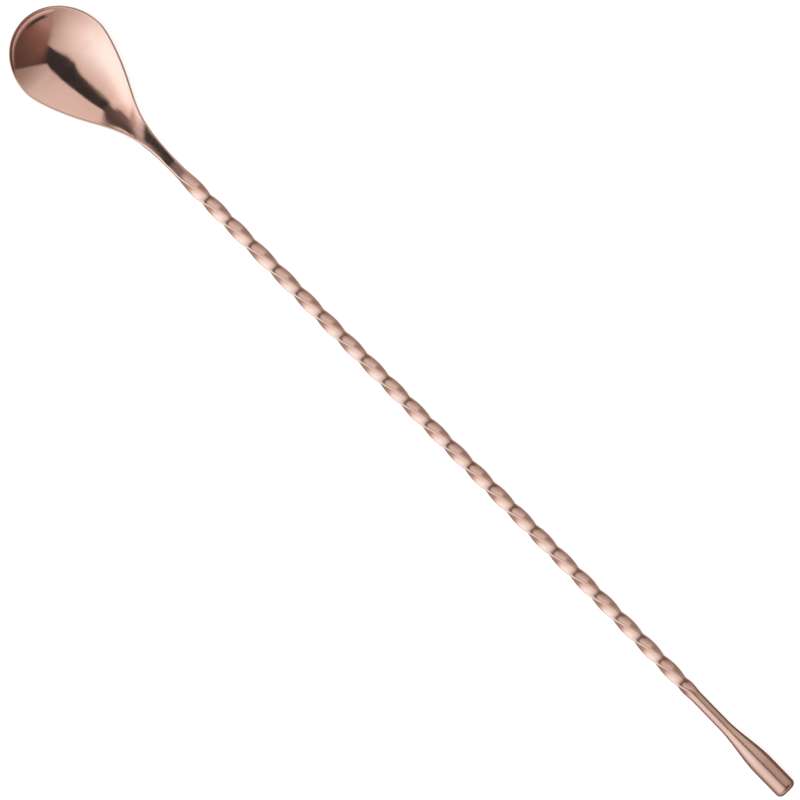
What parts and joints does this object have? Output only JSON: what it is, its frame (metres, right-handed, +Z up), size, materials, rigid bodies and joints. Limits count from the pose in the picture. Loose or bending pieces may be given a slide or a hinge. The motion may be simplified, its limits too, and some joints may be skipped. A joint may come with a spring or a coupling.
{
  "type": "bar spoon",
  "caption": "Long bar spoon with a teardrop bowl, a twisted square stem and a club-shaped counterweight for stirring and layering drinks.",
  "frame": {"origin": "on the surface the spoon lies on, under the middle of its bounding box", "axes": "+X along the spoon from the bowl to the counterweight, +Z up out of the open bowl, and +Y across it"},
  "size_m": [0.3, 0.0284, 0.0064],
  "materials": {
    "copper_plate_polished": "polished copper plating on stainless steel, with very fine polishing marks",
    "copper_plate_drawn": "copper plating on a cold-drawn and twisted stainless steel bar, satin, with fine marks across it",
    "copper_plate_turned": "copper plating on turned stainless steel, with fine lathe marks around it",
    "braze_filler": "silver brazing alloy, dull, hidden inside the joints"
  },
  "bodies": {
    "root": {"spoon_bowl": "copper_plate_polished", "twisted_stem": "copper_plate_drawn", "teardrop_end": "copper_plate_turned", "neck_braze": "braze_filler", "end_braze": "braze_filler"}
  },
  "joints": []
}
